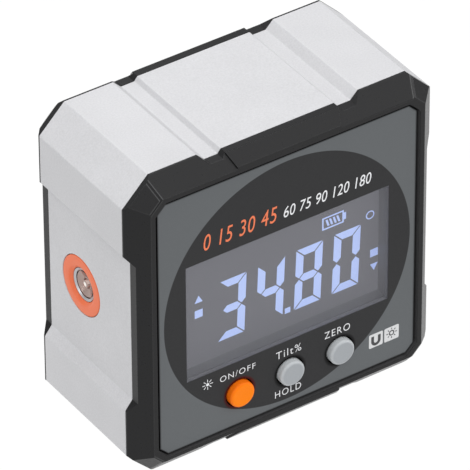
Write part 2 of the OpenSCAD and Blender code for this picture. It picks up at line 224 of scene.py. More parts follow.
def grained(name, colour, roughness, grain, shift=0.12, bump=0.02, metallic=0.0, gloss=0.5, **sockets):
    """A moulded, cast or painted finish. Grain and bump are in mm, and shift is how much its colour
    varies. Further sockets of the shader are given by their names."""
    made, tree = empty_material(name)
    place = add(tree, "ShaderNodeTexCoord").outputs["Object"]
    fine = add(tree, "ShaderNodeTexNoise", {
        "Vector": place, "Scale": 1 / (max(grain, FINEST_GRAIN) * MM), "Detail": 3.0, "Roughness": 0.6})
    broad = add(tree, "ShaderNodeTexNoise", {
        "Vector": place, "Scale": 1 / (BROAD_PATCH * MM), "Detail": 2.0})
    both = add(tree, "ShaderNodeMath", {0: broad, 1: BROAD_SHARE, 2: fine}, operation="MULTIPLY_ADD")
    dark, light = [(*[c * k for c in linear(colour)[:3]], 1.0) for k in (1 - shift, 1 + shift)]
    tint = add(tree, "ShaderNodeMapRange", {"Value": both, "From Min": 0.25, "From Max": 1.05})
    mixed = add(tree, "ShaderNodeMix", {0: tint, 6: dark, 7: light}, data_type="RGBA")
    rough = add(tree, "ShaderNodeMapRange", {
        "Value": fine, "From Min": 0.3, "From Max": 0.7,
        "To Min": roughness - ROUGHNESS_SPREAD, "To Max": roughness + ROUGHNESS_SPREAD})
    raised = add(tree, "ShaderNodeBump", {"Height": fine, "Strength": BUMP_STRENGTH, "Distance": bump * MM})
    shader = add(tree, "ShaderNodeBsdfPrincipled", {
        "Base Color": mixed, "Roughness": rough, "Metallic": metallic,
        "Specular IOR Level": gloss, "Normal": raised, **sockets})
    add(tree, "ShaderNodeOutputMaterial", {"Surface": shader})
    return made


def opened(material, socket="Base Color"):
    """A material's tree, a socket of its shader and what feeds that socket."""
    shader = next(n for n in material.node_tree.nodes if n.type == "BSDF_PRINCIPLED")
    fed = shader.inputs[socket]
    return material.node_tree, fed, fed.links[0].from_socket


def dress(node, finish):
    """Gives a CAD node one finish."""
    cad[node].data.materials.clear()
    cad[node].data.materials.append(finish)


print("a grain is drawn no finer than", FINEST_GRAIN, "mm")

# %% [markdown]
# The frame is an aluminium extrusion that was blasted with fine beads and anodised clear: a soft
# silver with a sparkle and no brush lines. The covers are black ABS with a spark-eroded grain. Their
# edges get a lighter, smoother finish: a painted highlight along the edges. The wall inside the rim
# gets a paler finish, painted light that lifts the shade there. Screws and contacts are zinc plated
# steel, a cool grey that mirrors its surroundings as a blur.

# %% Finishes of the case
aluminium = grained("bead_blasted_anodised_aluminium", "#c4c4c6", 0.6, 0.3,
                    shift=0.14, bump=0.012, metallic=0.2)
black_abs = grained("black_abs_fine_grain", "#1a1a1b", 0.32, 0.3, shift=0.10, bump=0.012, gloss=0.2)
# A lighter black for the bevel facets beside flat faces: a painted highlight along the edges.
edge_highlight_abs = grained("black_abs_painted_edge_highlight", "#2a2b2c", 0.28, 0.5, shift=0.08, bump=0.004)
# Paler than the cover: painted light on the wall inside the rim.
painted_light_wall_abs = grained("black_abs_painted_wall_light", "#434344", 0.6, 0.3, shift=0.06, bump=0.004, gloss=0.2)
plated_steel = grained("zinc_plated_steel", "#b4b5b8", 0.34, 0.4, shift=0.08, bump=0.006, metallic=1.0)
dress("body_frame", aluminium)
for name in ("front_bezel", "rear_cover", "battery_door"):
    dress(name, black_abs)
print("case finishes:", aluminium.name, black_abs.name, edge_highlight_abs.name, painted_light_wall_abs.name)

# %% [markdown]
# Every piece of the dressed gauge is a plain mesh that rides on a body of the CAD model. It may start
# from a CAD node, whose mesh is loose triangles, so a copy has its corners merged and its flat faces
# made whole. It may also come out of modifiers, and then only the evaluated mesh is kept.

# %% Copies, meshes and pieces
def joined_copy(node):
    """The node's mesh with its corners merged and its flat faces whole."""
    made = bmesh.new()
    made.from_mesh(cad[node].data)
    bmesh.ops.remove_doubles(made, verts=made.verts, dist=0.001 * MM)
    bmesh.ops.dissolve_limit(made, angle_limit=math.radians(0.5), verts=made.verts, edges=made.edges)
    return made


def as_mesh(made, name):
    """Turns a bmesh into a mesh and frees it."""
    mesh = bpy.data.meshes.new(name)
    made.to_mesh(mesh)
    made.free()
    return mesh


def as_plain_mesh(source, name):
    """The evaluated object as a mesh of its own; the source is removed."""
    evaluated = source.evaluated_get(bpy.context.evaluated_depsgraph_get())
    mesh = bpy.data.meshes.new_from_object(evaluated)
    mesh.name = name
    bpy.data.objects.remove(source)
    return mesh


def add_piece(name, mesh, body, stands_for=(), smooth=35):
    """Puts a finished mesh in the scene as a piece that rides on a CAD body."""
    mesh.shade_smooth()
    mesh.set_sharp_from_angle(angle=math.radians(smooth))
    made = put_in_scene(name, mesh)
    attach(made, body)
    if stands_for:
        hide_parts(*stands_for)
    return made


print("a piece starts from one of", len(cad), "CAD nodes or from nothing")

# %% [markdown]
# Solids from CAD have knife edges. Real edges are broken, and a broken edge catches light. They could
# be rounded in CAD, but the solids would get heavy. So every edge that is to be broken gets a weight,
# and a Bevel modifier cuts it that wide. The copy then stands for the node.

# %% Broken edges
LARGE_FACE = 5
IN_LINE_ANGLE = 8


def broken_edges(node, name, width, weight_of, finishes, segments=2, clamp=False):
    """A copy of a node with bevelled edges. weight_of gives an edge's share of the width, or 0.
    Where bevels meet in a notch they can overshoot, so the points are kept in the node's box. The
    last finish goes on the facets of a bevel that lie almost in line with a flat beside it."""
    cut = joined_copy(node)
    weights = [weight_of(e) if len(e.link_faces) == 2 else 0.0 for e in cut.edges]
    flats = [f.normal.copy() for f in cut.faces if f.calc_area() > LARGE_FACE * MM ** 2]
    mesh = as_mesh(cut, name)
    mesh.attributes.new("bevel_weight_edge", "FLOAT", "EDGE").data.foreach_set("value", weights)
    for finish in finishes:
        mesh.materials.append(finish)
    holder = put_in_scene(name + "_sharp", mesh)
    bevel = holder.modifiers.new("broken_edges", "BEVEL")
    bevel.limit_method, bevel.width, bevel.segments = "WEIGHT", width * MM, segments
    bevel.use_clamp_overlap = clamp
    bevel.material = len(finishes) - 1
    finished = as_plain_mesh(holder, name)
    low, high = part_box(node)
    for v in finished.vertices:
        v.co = [min(max(c, a), b) for c, a, b in zip(v.co, low, high)]
    # Facets in line with a flat keep the last finish; on the covers that is the painted edge highlight.
    for p in finished.polygons:
        if max(p.normal.dot(n) for n in flats) < math.cos(math.radians(IN_LINE_ANGLE)):
            p.material_index = 0
    made = add_piece(name, finished, "housing", [node], smooth=1)
    print(name, "has", sum(w > 0 for w in weights), "broken edges and", len(made.data.polygons), "faces")
    return made


print("a facet counts as in line with a flat up to", IN_LINE_ANGLE, "degrees")

# %% [markdown]
# The frame is cut from an extruded bar, and its outer edges are broken about a tenth of a millimetre
# wide before it is anodised. The covers hide the edges of its cavity, so a modifier that cuts every
# edge would waste faces there. Only edges far from the middle get a weight.

# %% Aluminium frame
FRAME_EDGE = 0.12
FRAME_OUTSIDE = 28
SHARP_ANGLE = math.radians(20)


def middle_of(edge):
    return (edge.verts[0].co + edge.verts[1].co) / 2 / MM


def from_middle(spot):
    """How far a point lies from the gauge's middle, to the side or up and down."""
    return max(abs(spot.x), abs(spot.z - middle_z))


def frame_weight(edge):
    """Breaks the outer edges of the extrusion, and none in its cavity."""
    outside = from_middle(middle_of(edge)) > FRAME_OUTSIDE
    return float(outside and edge.calc_face_angle(0) > SHARP_ANGLE)


broken_edges("body_frame", "aluminium_frame", FRAME_EDGE, frame_weight, [aluminium])

# %% [markdown]
# The covers are moulded, with slopes that meet at mitres and facets at the corners. Their edges are
# not all alike: the mitres above and below are wide and smooth, and most others are narrow. How the
# two faces beside an edge lie tells what kind it is, which saves picking every edge by hand.

# %% Front and rear covers
MITRE_EDGE = 0.38
CORNER_SHARE, INNER_SHARE, THIN_SHARE = 0.7, 0.15, 0.12
COVER_INSIDE = 25.6
FLAT_ANGLE, MITRE_FROM, MITRE_TO = 10, 25, 40
# How far faces look forwards or back, as the Y of their normals.
UPRIGHT, SLOPE_LOW, SLOPE_HIGH, LEVEL = 0.1, 0.6, 0.8, 0.9
CORNER_LEAN = 0.4


def cover_weight(edge):
    """Breaks the upper and lower mitres and the rim at the corners widest, and most others thinly."""
    first, second = (f.normal for f in edge.link_faces)
    out = [abs(first.y), abs(second.y)]
    angle = math.degrees(edge.calc_face_angle(0))
    spot = middle_of(edge)
    if spot.y < rim_front + 0.01 and min(out) < UPRIGHT:
        return INNER_SHARE
    if from_middle(spot) < COVER_INSIDE or angle < FLAT_ANGLE:
        return 0.0
    sloped = [SLOPE_LOW < o < SLOPE_HIGH for o in out]
    if all(sloped) and MITRE_FROM < angle < MITRE_TO:
        return 1.0 if min(abs(first.x), abs(second.x)) < UPRIGHT else THIN_SHARE
    if not any(sloped) or all(sloped):
        return 0.0
    sideways, upwards = max(abs(first.x), abs(second.x)), max(abs(first.z), abs(second.z))
    at_corner = min(sideways, upwards) > CORNER_LEAN
    return CORNER_SHARE if at_corner and max(out) >= LEVEL else THIN_SHARE


# The second finish is the painted highlight on the broken edges.
COVER_FINISHES = [black_abs, edge_highlight_abs]
front_cover = broken_edges("front_bezel", "front_cover", MITRE_EDGE, cover_weight,
                           COVER_FINISHES, segments=4)
broken_edges("rear_cover", "rear_shell", MITRE_EDGE, cover_weight,
             COVER_FINISHES, segments=4, clamp=True)

# %% [markdown]
# The low wall between the rim and the face panel is painted paler than the rest of the cover: painted
# light that lifts the shade in the narrow gap. It could be a piece of its own, but it belongs to the
# same moulding, so its faces only get another material. They are those that look inwards and reach in
# front of the panel.

# %% Painted light on the wall inside the rim
front_cover.data.materials.append(painted_light_wall_abs)
lit_wall_faces = 0
for p in front_cover.data.polygons:
    inward = p.normal.x * p.center.x + p.normal.z * (p.center.z - middle_z * MM) < 0
    in_front = min(front_cover.data.vertices[i].co.y for i in p.vertices) < panel_front * MM
    if inward and in_front and abs(p.normal.y) < UPRIGHT:
        p.material_index = len(COVER_FINISHES)
        lit_wall_faces += 1
print("wall inside the rim has", lit_wall_faces, "faces")

# %% [markdown]
# The face panel is a satin polycarbonate sheet, printed from behind: grey all over, with a nearly
# black disc around the display. The disc is drawn by its distance from its centre, so it stays sharp
# at any size. The ink has a soft edge of a few hundredths of a millimetre.

# %% Disc of the face panel
DISC_RADIUS, DISC_MIDDLE, INK_EDGE, INK_SPECK = 24.3, 29.9, 0.04, 0.3
PANEL_GREY, PANEL_GLOSS = "#606365", 0.1


def distance_from(tree, place, x, z):
    """How far a point of the face lies from an axis at x and z in metres."""
    moved = add(tree, "ShaderNodeMapping", {"Vector": place, "Scale": (1, 0, 1), "Location": (-x, 0, -z)})
    return add(tree, "ShaderNodeVectorMath", {0: moved}, operation="LENGTH")


panel_finish = grained("printed_satin_polycarbonate", PANEL_GREY, 0.48, 0.35,
                       shift=0.05, bump=0.006, gloss=PANEL_GLOSS)
tree, panel_colour, grey_print = opened(panel_finish)
place = add(tree, "ShaderNodeTexCoord").outputs["Object"]
outside = add(tree, "ShaderNodeMapRange", {
    "Value": distance_from(tree, place, 0, DISC_MIDDLE * MM),
    "From Min": (DISC_RADIUS - INK_EDGE) * MM, "From Max": (DISC_RADIUS + INK_EDGE) * MM})
speck = add(tree, "ShaderNodeTexNoise", {"Vector": place, "Scale": 1 / (INK_SPECK * MM), "Detail": 2.0})
ink = add(tree, "ShaderNodeMix", {0: speck, 6: linear("#2e2e2f"), 7: linear("#323233")}, data_type="RGBA")
printed = add(tree, "ShaderNodeMix", {0: outside, 6: ink, 7: grey_print}, data_type="RGBA")
print("face panel printed with a disc of", 2 * DISC_RADIUS, "mm")

# %% [markdown]
# Where the sheet is cut for the window no ink covers its edge, so faces there that don't look
# forwards get a pale grey. The outer edge and a narrow border along it are painted black, a painted
# shadow of the rim on the sheet. The panel is a square with cut corners, so the distance to its edge is
# the larger of two: the one to a straight side and the one to a slanted corner.

# %% Cut edges and painted shadow border of the face panel
PANEL_CORNER, PANEL_SHADOW_BORDER = 1.6, 0.3
window_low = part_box("display_window")[0].z
panel_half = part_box("face_panel")[1].x

normal = add(tree, "ShaderNodeNewGeometry").outputs["Normal"]
facing = add(tree, "ShaderNodeSeparateXYZ", {"Vector": normal})
height = add(tree, "ShaderNodeSeparateXYZ", {"Vector": place})
forwards = add(tree, "ShaderNodeMath", {0: facing.outputs["Y"]}, operation="ABSOLUTE")
edge = add(tree, "ShaderNodeMath", {0: forwards, 1: 0.5}, operation="LESS_THAN")
by_window = add(tree, "ShaderNodeMath", {0: height.outputs["Z"], 1: window_low}, operation="GREATER_THAN")
cut = add(tree, "ShaderNodeMath", {0: edge, 1: by_window}, operation="MULTIPLY")
sheet = add(tree, "ShaderNodeMix", {0: cut, 6: printed, 7: linear("#5e5e63")}, data_type="RGBA")
centred = add(tree, "ShaderNodeMapping", {"Vector": place, "Location": (0, 0, -middle_z * MM)})
folded = add(tree, "ShaderNodeVectorMath", {0: centred}, operation="ABSOLUTE")
away = add(tree, "ShaderNodeSeparateXYZ", {"Vector": folded}).outputs
straight = add(tree, "ShaderNodeMath", {0: away["X"], 1: away["Z"]}, operation="MAXIMUM")
total = add(tree, "ShaderNodeMath", {0: away["X"], 1: away["Z"]}, operation="ADD")
slanted = add(tree, "ShaderNodeMath", {0: total, 1: panel_half - PANEL_CORNER * MM}, operation="SUBTRACT")
outermost = add(tree, "ShaderNodeMath", {0: straight, 1: slanted}, operation="MAXIMUM")
border = add(tree, "ShaderNodeMapRange", {
    "Value": outermost, "From Min": panel_half - PANEL_SHADOW_BORDER * MM, "From Max": panel_half})
# Painted shadow: the border and the outer edge go nearly black where the rim shades the sheet.
shadow_edged = add(tree, "ShaderNodeMix", {0: border, 6: sheet, 7: linear("#171718")}, data_type="RGBA")
print("border of", PANEL_SHADOW_BORDER, "mm on a panel of", round(2 * panel_half / MM, 2), "mm")

# %% [markdown]
# Round each cap's hole the sheet gets a painted shadow ring, black at the grey caps. At the orange cap
# it is dark red: painted shadow with a painted reflection of the orange plastic. The rings are drawn
# like the disc, and a loop lays one after another over the print.

# %% Painted shadow rings round the caps
SHADOW_RING_FULL, SHADOW_RING_END = 2.85, 3.3
# Painted shadow colours; the dark red also paints the orange cap's reflection.
SHADOW_RING_COLOURS = {"power_button": "#420200", "hold_button": "#050505", "zero_button": "#050505"}

colour = shadow_edged
for node, shade in SHADOW_RING_COLOURS.items():
    middle = sum(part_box(node), Vector()) / 2
    near = add(tree, "ShaderNodeMapRange", {
        "Value": distance_from(tree, place, middle.x, middle.z),
        "From Min": SHADOW_RING_END * MM, "From Max": SHADOW_RING_FULL * MM})
    colour = add(tree, "ShaderNodeMix", {0: near, 6: colour, 7: linear(shade)}, data_type="RGBA")
tree.links.new(colour.outputs[2], panel_colour)
dress("face_panel", panel_finish)
print("rings round", len(SHADOW_RING_COLOURS), "caps")

# %% [markdown]
# Behind a clear window lies the liquid crystal cell in a grey frame. The window is acrylic: almost
# all of its look is what lies behind it, so it is mostly see-through with a little gloss. The cell is
# a grey polariser that its light guide brightens a little from below; part of its glow is painted
# light that evens out the shade near the walls. The frame's glow is painted light that lifts its
# shaded walls.

# %% Window, cell and its frame
def glow(colour, strength):
    """The shader sockets of a surface that gives off light."""
    return {"Emission Color": linear(colour), "Emission Strength": strength}


window_finish = grained("clear_acrylic_window", "#c8c9d0", 0.08, 3.0, shift=0.03, bump=0.0005, Alpha=0.07)
# Part of this glow is painted light that evens out the shade near the frame's walls.
cell_finish = grained("polariser_film", "#202023", 0.5, 0.3, shift=0.03, bump=0.002, gloss=0.2,
                      **glow("#6d6d74", 0.6))
# The frame is no lamp: its glow is painted light that lifts its shaded walls.
frame_finish = grained("grey_abs_display_frame", "#3f4043", 0.55, 0.3, shift=0.06, bump=0.01,
                       **glow("#6d6d74", 0.228))
dress("display_window", window_finish)
dress("lcd_glass", cell_finish)
dress("lcd_frame", frame_finish)
print("display finishes:", window_finish.name, cell_finish.name, frame_finish.name)

# %% [markdown]
# Everything flat on the face is a thin prism: lit segments on the cell, ink on the panel. A helper
# turns outlines in millimetres, as x and z of the face, into one closed mesh that lies a hair's
# breadth proud of its plane and reaches a little into it, so that it never hovers.

# %% Flat prints
INK_PROUD, INK_SUNK = 0.02, 0.01


def flat_print(outlines, plane, rings=(), proud=INK_PROUD):
    """A mesh of thin prisms that face -Y. A ring is a pair of loops with as many points each."""
    made = bmesh.new()
    front, back = (plane - proud) * MM, (plane + INK_SUNK) * MM

    def loop_at(points, y):
        return [made.verts.new((x * MM, y, z * MM)) for x, z in points]

    def walls(near, far):
        for i in range(len(near)):
            j = (i + 1) % len(near)
            made.faces.new((near[i], near[j], far[j], far[i]))

    for points in outlines:
        near, far = loop_at(points, front), loop_at(points, back)
        made.faces.new(near)
        made.faces.new(far[::-1])
        walls(near, far)
    for outer, inner in rings:
        loops = [loop_at(points, y) for points in (outer, inner) for y in (front, back)]
        walls(loops[0], loops[1])
        walls(loops[3], loops[2])
        walls(loops[2], loops[0])
        walls(loops[1], loops[3])
    bmesh.ops.recalc_face_normals(made, faces=made.faces)
    return as_mesh(made, "flat_print")


def arc(x, z, radius, start=0, stop=360, steps=40):
    """Points on a circle from start to stop in degrees; a whole circle leaves out its last point."""
    whole = abs(stop - start) >= 360
    angles = [math.radians(start + (stop - start) * i / steps) for i in range(steps + (not whole))]
    return [(x + radius * math.cos(a), z + radius * math.sin(a)) for a in angles]


def rectangle(left, right, low, high):
    return [(left, low), (right, low), (right, high), (left, high)]


def printed_piece(name, mesh, finish):
    mesh.materials.clear()
    mesh.materials.append(finish)
    add_piece(name, mesh, "housing")


print("ink lies", INK_PROUD, "mm proud")

# %% [markdown]
# A seven segment digit is cut from one frame: bars with mitred ends at the corners and pointed ends
# at the waist, with a hair gap between them, all leaning slightly. Naming the bars by letters, as
# display makers do, lets one function draw every number. Lit bars are a pale blue glow.

# %% Lit segments
DIGIT_W, DIGIT_H, BAR, GAP = 5.3, 12.0, 1.5, 0.155
DIGIT_LOW, DIGIT_LEAN = 20.3, 0.5 / 12
DIGIT_LEFTS = (-11.75, -4.15, 3.4, 10.95)
READING = "3480"
BARS_OF = {"0": "abcdef", "3": "abcdg", "4": "bcfg", "8": "abcdefg"}
POINT_LEFT, POINT_SIZE = 1.6, 1.1


def digit_bars():
    """Outlines of the seven bars in a digit's own box."""
    w, h, t, e, m = DIGIT_W, DIGIT_H, BAR, GAP, DIGIT_H / 2
    top = [(e, h), (w - e, h), (w - t - e, h - t), (t + e, h - t)]
    waist = [(t / 2 + e, m), (t + e, m + t / 2), (w - t - e, m + t / 2),
             (w - t / 2 - e, m), (w - t - e, m - t / 2), (t + e, m - t / 2)]
    upper_left = [(0, h - e), (t, h - t - e), (t, m + t / 2 + e), (t / 2, m + e), (0, m + t / 2 + e)]

    def flip_x(points):
        return [(w - x, z) for x, z in points]

    def flip_z(points):
        return [(x, h - z) for x, z in points]

    return {"a": top, "d": flip_z(top), "g": waist, "f": upper_left, "b": flip_x(upper_left),
            "e": flip_z(upper_left), "c": flip_x(flip_z(upper_left))}


segment_finish = grained("lit_display_segments", "#7f90a4", 0.5, 0.4, shift=0.03, bump=0.0,
                         **glow("#aabcff", 0.62))
bars = digit_bars()
lit = [[(left + x + DIGIT_LEAN * z, DIGIT_LOW + z) for x, z in bars[letter]]
       for left, number in zip(DIGIT_LEFTS, READING) for letter in BARS_OF[number]]
lit.append(rectangle(POINT_LEFT, POINT_LEFT + POINT_SIZE, DIGIT_LOW, DIGIT_LOW + POINT_SIZE))
printed_piece("display_digits", flat_print(lit, cell_front), segment_finish)
print("display digits from", len(lit), "bars")

# %% [markdown]
# Beside the digits the display has two squares, two pointers, a battery and a degree sign, lit like
# the digits. The open ones are made as a ring between two outlines, because a face can't have a hole.

# %% Small signs of the display
SIGN, POINTER_HALF = 1.55, 0.7
SIGN_LEFT_X, LEFT_SQUARE_Z, LEFT_POINTER_Z = -15.37, 27.75, 30.75
SIGN_RIGHT_X, RIGHT_SQUARE_Z, RIGHT_POINTER_Z = 19.46, 25.4, 22.45
BATTERY_LEFT, BATTERY_RIGHT, BATTERY_LOW, BATTERY_HIGH = 9.0, 13.3, 34.2, 36.7
BATTERY_WALL, TIP_LENGTH, TIP_INSET = 0.28, 0.45, 0.55
DEGREE_X, DEGREE_Z, DEGREE_RADIUS, DEGREE_HOLE = 18.6, 33.45, 0.85, 0.62


def square(x, z):
    return rectangle(x - SIGN / 2, x + SIGN / 2, z - SIGN / 2, z + SIGN / 2)


def pointer(x, z, way):
    foot = z - way * POINTER_HALF
    return [(x - SIGN / 2, foot), (x + SIGN / 2, foot), (x, z + way * POINTER_HALF)]


battery_tip = rectangle(BATTERY_RIGHT, BATTERY_RIGHT + TIP_LENGTH,
                        BATTERY_LOW + TIP_INSET, BATTERY_HIGH - TIP_INSET)
signs = [square(SIGN_LEFT_X, LEFT_SQUARE_Z), pointer(SIGN_LEFT_X, LEFT_POINTER_Z, 1),
         square(SIGN_RIGHT_X, RIGHT_SQUARE_Z), pointer(SIGN_RIGHT_X, RIGHT_POINTER_Z, -1), battery_tip]
battery_case = [rectangle(BATTERY_LEFT + w, BATTERY_RIGHT - w, BATTERY_LOW + w, BATTERY_HIGH - w)
                for w in (0, BATTERY_WALL)]
degree = [arc(DEGREE_X, DEGREE_Z, radius) for radius in (DEGREE_RADIUS, DEGREE_HOLE)]
sign_mesh = flat_print(signs, cell_front, [battery_case, degree])
printed_piece("display_signs", sign_mesh, segment_finish)
print("display signs:", len(signs), "solid and 2 open")

# %% [markdown]
# Several things on the gauge repeat: the bars of the battery sign, the rays of the light signs, the
# ribs of the battery door and the case screws. Geometry Nodes copy one shape along a row, round a
# ring or to the corners of a grid. Each tree has named sizes, realises its copies, because instances
# would be lost in an export, and sets their material.

# %% Trees that make copies
STAND_UP = (math.radians(90), 0, 0)


def copies_tree(name, sizes, points_from):
    """A node group that puts the incoming shape on points. points_from adds them and says how they turn."""
    group = bpy.data.node_groups.new(name, "GeometryNodeTree")
    group.interface.new_socket("Geometry", in_out="INPUT", socket_type="NodeSocketGeometry")
    for title, kind, value in sizes:
        group.interface.new_socket(title, in_out="INPUT", socket_type=kind).default_value = value
    group.interface.new_socket("Finish", in_out="INPUT", socket_type="NodeSocketMaterial")
    group.interface.new_socket("Geometry", in_out="OUTPUT", socket_type="NodeSocketGeometry")
    given = add(group, "NodeGroupInput").outputs
    copies = add(group, "GeometryNodeInstanceOnPoints", {
        "Instance": given["Geometry"], **points_from(group, given)})
    real = add(group, "GeometryNodeRealizeInstances", {"Geometry": copies})
    finished = add(group, "GeometryNodeSetMaterial", {"Geometry": real, "Material": given["Finish"]})
    add(group, "NodeGroupOutput", {"Geometry": finished})
    return group


def row_points(group, given):
    line = add(group, "GeometryNodeMeshLine", {
        "Count": given["Count"], "Start Location": given["Start"], "Offset": given["Step"]})
    return {"Points": line}


def ring_points(group, given):
    circle = add(group, "GeometryNodeMeshCircle", {"Vertices": given["Count"], "Radius": given["Radius"]})
    upright = add(group, "GeometryNodeTransform", {
        "Geometry": circle, "Translation": given["Centre"], "Rotation": STAND_UP})
    number = add(group, "GeometryNodeInputIndex")
    share = add(group, "ShaderNodeMath", {0: number, 1: given["Count"]}, operation="DIVIDE")
    angle = add(group, "ShaderNodeMath", {0: share, 1: -math.tau}, operation="MULTIPLY")
    turn = add(group, "ShaderNodeCombineXYZ", {"Y": angle})
    return {"Points": upright, "Rotation": turn}


def grid_points(group, given):
    grid = add(group, "GeometryNodeMeshGrid", {
        "Size X": given["Spacing"], "Size Y": given["Spacing"], "Vertices X": 2, "Vertices Y": 2})
    upright = add(group, "GeometryNodeTransform", {
        "Geometry": grid, "Translation": given["Centre"], "Rotation": STAND_UP})
    return {"Points": upright}


VECTOR, NUMBER, LENGTH = "NodeSocketVector", "NodeSocketInt", "NodeSocketFloat"
centre = ("Centre", VECTOR, (0, 0, 0))
row_sizes = [("Count", NUMBER, 4), ("Start", VECTOR, (0, 0, 0)), ("Step", VECTOR, (0.001, 0, 0))]
row_tree = copies_tree("row_of_copies", row_sizes, row_points)
ring_sizes = [("Count", NUMBER, 8), ("Radius", LENGTH, 0.001), centre]
ring_tree = copies_tree("ring_of_copies", ring_sizes, ring_points)
grid_tree = copies_tree("corner_copies", [("Spacing", LENGTH, 0.04), centre], grid_points)
print("trees:", row_tree.name, ring_tree.name, grid_tree.name)

# %% [markdown]
# Four slanted bars in the battery sign tell how full it is. They are alike and evenly spaced, so one
# is drawn and the row tree copies it, rather than four being drawn.

# %% Bars of the battery sign
BAR_COUNT, BAR_PITCH, FIRST_BAR_X, BARS_Z = 4, 0.72, 9.85, 35.45
BAR_OUTLINE = [(0.22, -0.66), (0.62, -0.66), (0.2, 0.66), (-0.2, 0.66)]


def copied(mesh, tree, finish, **sizes):
    """The copies of a shape as one plain mesh. Inputs are set by their identifiers."""
    holder = put_in_scene("one_of_many", mesh)
    modifier = holder.modifiers.new("copies", "NODES")
    modifier.node_group = tree
    named = {s.name: s.identifier for s in tree.interface.items_tree if s.in_out == "INPUT"}
    for title, value in {**sizes, "Finish": finish}.items():
        modifier[named[title]] = value
    return as_plain_mesh(holder, mesh.name)


battery_bars = copied(flat_print([BAR_OUTLINE], 0), row_tree, segment_finish, Count=BAR_COUNT,
                      Step=(BAR_PITCH * MM, 0, 0), Start=(FIRST_BAR_X * MM, cell_front * MM, BARS_Z * MM))
printed_piece("battery_bars", battery_bars, segment_finish)
print("battery bars:", len(battery_bars.polygons), "faces")

# %% [markdown]
# The labels are screen printed with white ink, which dries matt and slightly grainy. Blender's own
# typeface is close to the plain letters on such a panel. Each word is made as a text object, turned
# into a mesh, and only then fitted into its box on the face, so that its place ends up in its vertices.

# %% Printed words
white_ink = grained("white_screen_ink", "#e3e4e6", 0.6, 0.3, shift=0.04, bump=0.003)
LABEL_WEIGHT, LABEL_SPACING = -0.007, 1.2
LABELS = {
    "label_on_off": ("ON/OFF", (-13.5, -6.5, 14.8, 15.95)),
    "label_tilt": ("Tilt%", (-2.4, 2.6, 14.55, 16.05)),
    "label_zero": ("ZERO", (7.3, 12.4, 14.6, 16.0)),
    "label_hold": ("HOLD", (-2.6, 2.6, 6.6, 7.95)),
}


def words(name, text, box, finish, weight=0.0, slant=0.0, spacing=1.0):
    """Prints a text into box = (left, right, low, high) in mm on the face panel."""
    font = bpy.data.curves.new(name, "FONT")
    font.body, font.extrude, font.offset, font.space_character = text, 0.01, weight, spacing
    font.shear = slant
    mesh = as_plain_mesh(put_in_scene(name + "_text", font), name)
    left, right, low, high = box
    xs, ys = [[v.co[i] for v in mesh.vertices] for i in (0, 1)]
    wide, tall = (right - left) / (max(xs) - min(xs)), (high - low) / (max(ys) - min(ys))
    start_x, start_y = min(xs), min(ys)
    for v in mesh.vertices:
        x, y, z = v.co
        depth = panel_front - INK_PROUD if z > 0 else panel_front + INK_SUNK
        v.co = ((left + (x - start_x) * wide) * MM, depth * MM, (low + (y - start_y) * tall) * MM)
    printed_piece(name, mesh, finish)
    print(name, "has", len(mesh.polygons), "faces")


for name, (text, box) in LABELS.items():
    words(name, text, box, white_ink, LABEL_WEIGHT, spacing=LABEL_SPACING)

# %% [markdown]
# Above the display runs a row of common angles, the first four large and orange, the rest smaller
# and white. Plain numbers suit any gauge of this kind. The orange ink is as matt as the white one.

# %% Row of angles
ANGLE_SLANT = 0.18
orange_ink = grained("orange_screen_ink", "#e8764a", 0.6, 0.3, shift=0.06, bump=0.003)
words("angles_orange", "0 15 30 45", (-16.5, -2.2, 42.95, 46.05), orange_ink,
      slant=ANGLE_SLANT, spacing=1.1)
words("angles_white", "60 75 90 120 180", (-0.9, 16.4, 43.05, 45.2), white_ink,
      slant=ANGLE_SLANT, spacing=1.05)

# %% [markdown]
# Two small signs tell what the gauge has: a horseshoe for its magnets and a lamp for its lit display.
# Each is printed in dark ink over a pale tile, and both inks are matt. The outlines are built from
# arcs, so a few sizes are enough to draw them.

# %% Tiles and the horseshoe
grey_ink = grained("pale_grey_screen_ink", "#cfd0d1", 0.6, 0.3, shift=0.04, bump=0.003)
dark_ink = grained("dark_screen_ink", "#3a3b3d", 0.6, 0.3, shift=0.06, bump=0.003)
TILE_LOW, TILE_HIGH, TILE_CORNER = 8.6, 11.4, 0.25
TILE_SPANS = ((16.3, 19.1), (19.4, 22.35))
SHOE_X, SHOE_Z, SHOE_TOP, SHOE_OUTER, SHOE_INNER = 17.7, 9.85, 10.9, 0.95, 0.4


def rounded_tile(left, right):
    """A tile's outline, corner by corner, each as an arc of a quarter circle."""
    west, east = left + TILE_CORNER, right - TILE_CORNER
    south, north = TILE_LOW + TILE_CORNER, TILE_HIGH - TILE_CORNER
    corners = [(east, south, 270), (east, north, 0), (west, north, 90), (west, south, 180)]
    return [point for x, z, start in corners for point in arc(x, z, TILE_CORNER, start, start + 90, 6)]


tile_mesh = flat_print([rounded_tile(*span) for span in TILE_SPANS], panel_front)
printed_piece("sign_tiles", tile_mesh, grey_ink)
horseshoe = (arc(SHOE_X, SHOE_Z, SHOE_OUTER, 180, 360, 24)
             + [(SHOE_X + SHOE_OUTER, SHOE_TOP), (SHOE_X + SHOE_INNER, SHOE_TOP)]
             + arc(SHOE_X, SHOE_Z, SHOE_INNER, 360, 180, 24)
             + [(SHOE_X - SHOE_INNER, SHOE_TOP), (SHOE_X - SHOE_OUTER, SHOE_TOP)])
shoe_mesh = flat_print([horseshoe], panel_front, proud=2 * INK_PROUD)
printed_piece("sign_magnet", shoe_mesh, dark_ink)
print("tiles and a horseshoe with", len(horseshoe), "points")

# %% [markdown]
# A lamp sign is a small disc or ring with rays. Each ray could be drawn, but the ring tree turns one
# ray round the middle. On the tile the sign is dark with an open core, and beside the first button it
# is white with a filled one.

# %% Lamp signs
RAY_COUNT, RAY_GAP, CORE_HOLE = 8, 0.18, 0.62


